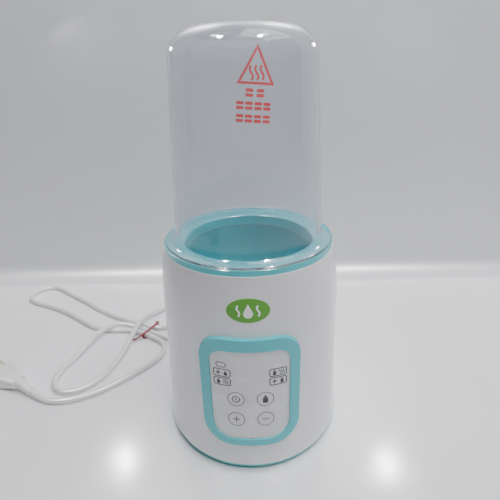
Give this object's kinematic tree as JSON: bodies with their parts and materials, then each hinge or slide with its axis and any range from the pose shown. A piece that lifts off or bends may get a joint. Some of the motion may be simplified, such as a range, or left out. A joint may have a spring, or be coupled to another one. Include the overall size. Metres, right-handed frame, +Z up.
{
  "type": "bottle sterilizer",
  "caption": "Tall clear dome on a ringed, heated pot in a rounded housing with a touch panel, which steams or warms a feeding bottle.",
  "frame": {"origin": "centre of the round footprint, on the surface that the feet stand on", "axes": "+Z up along the dome's axis, -Y towards the touch panel, +X to the right seen from the front"},
  "size_m": [0.4008, 0.2991, 0.3094],
  "materials": {
    "white_gloss": "glossy white ABS",
    "white_matte": "plain white ABS",
    "teal_gloss": "glossy light teal ABS",
    "teal_satin": "satin light teal ABS",
    "teal_pot": "satin deep teal polypropylene",
    "panel_white": "satin white touch lens with dark grey print",
    "badge_green": "leaf green with a white pictogram",
    "rubber_grey": "matt grey rubber",
    "screw_steel": "zinc-plated steel",
    "gasket_silicone": "dark teal silicone",
    "plate_steel": "spun stainless steel",
    "element_aluminium": "extruded aluminium",
    "component_dark": "moulded black epoxy",
    "rack_clear": "natural polypropylene",
    "dome_clear": "hazy clear polypropylene",
    "board_green": "green solder mask",
    "foam_black": "conductive foam",
    "lamp_white": "white lamp lens",
    "relay_blue": "blue relay case",
    "terminal_green": "green terminal block",
    "cord_white": "white PVC",
    "plug_white": "white moulded PVC",
    "wire_red": "silicone-covered wire",
    "wire_black": "thin black wire",
    "cable_grey": "grey flat cable",
    "blade_brass": "nickel-bright brass",
    "tie_red": "dark red plastic-covered wire"
  },
  "bodies": {
    "housing": {"outer_housing": "white_gloss", "panel_bezel": "teal_gloss", "touch_panel": "panel_white", "panel_carrier": "white_matte", "badge": "badge_green", "base_cover": "teal_satin", "rubber_feet": "rubber_grey", "base_screws": "screw_steel", "top_ring": "teal_gloss", "pot_gasket": "gasket_silicone", "heating_pot": "teal_pot", "pot_screws": "screw_steel", "heater_plate": "plate_steel", "plate_seal": "gasket_silicone", "heating_element": "element_aluminium", "heater_clamp": "plate_steel", "heater_screws": "screw_steel", "thermostat": "component_dark", "thermal_fuse": "component_dark", "temperature_sensor": "plate_steel", "display_board": "board_green", "display_screws": "screw_steel", "touch_pads": "foam_black", "display_module": "component_dark", "indicator_lights": "lamp_white", "control_board": "board_green", "board_screws": "screw_steel", "transformer": "component_dark", "relay": "relay_blue", "terminal_block": "terminal_green", "filter_capacitor": "component_dark", "buzzer": "component_dark", "strain_relief": "cord_white", "mains_lead": "cord_white", "cord_clamp": "white_matte", "clamp_screws": "screw_steel", "mains_wires": "wire_red", "heater_wires": "wire_red", "sensor_wires": "wire_black", "display_cable": "cable_grey", "power_cord": "cord_white", "plug_body": "plug_white", "plug_blades": "blade_brass", "cord_tie": "tie_red"},
    "dome": {"dome_cover": "dome_clear"},
    "rack": {"bottle_rack": "rack_clear"}
  },
  "joints": [
    {"name": "dome_lift", "type": "slide", "parent": "housing", "child": "dome", "axis": [0, 0, 1], "range_m": [0, 0.2]},
    {"name": "rack_lift", "type": "slide", "parent": "housing", "child": "rack", "axis": [0, 0, 1], "range_m": [0, 0.1]}
  ]
}
